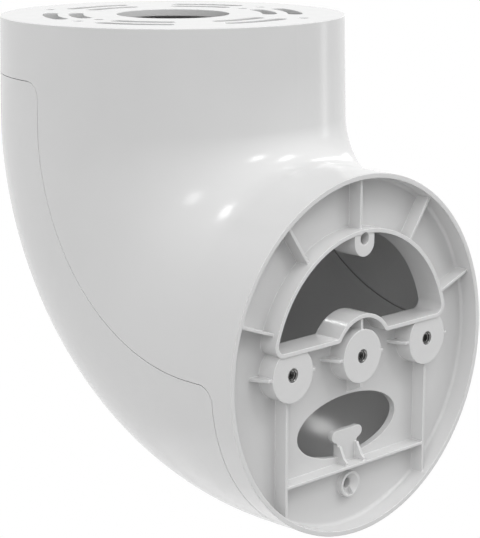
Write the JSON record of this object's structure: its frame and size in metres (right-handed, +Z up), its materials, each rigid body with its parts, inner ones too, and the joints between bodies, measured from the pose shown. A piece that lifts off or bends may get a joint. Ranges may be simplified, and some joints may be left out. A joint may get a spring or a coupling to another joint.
{
  "type": "camera eave mount",
  "caption": "Moulded elbow that hangs a dome camera under an eave: a slotted plate screws up to the soffit and cables run through it to a round flange.",
  "frame": {"origin": "centre of the round eave face, on the axis of the cable hole", "axes": "+Z up into the eave, +X out of the camera flange, +Y across; the part is symmetric about y = 0"},
  "size_m": [0.1905, 0.152, 0.2085],
  "materials": {
    "housing_plastic": "fine satin, light grey-white",
    "cover_plastic": "fine satin, light grey-white",
    "insert_metal": "turned, threaded bore"
  },
  "bodies": {
    "root": {"elbow_housing": "housing_plastic", "access_cover": "cover_plastic", "left_threaded_insert": "insert_metal", "middle_threaded_insert": "insert_metal", "right_threaded_insert": "insert_metal"}
  },
  "joints": []
}
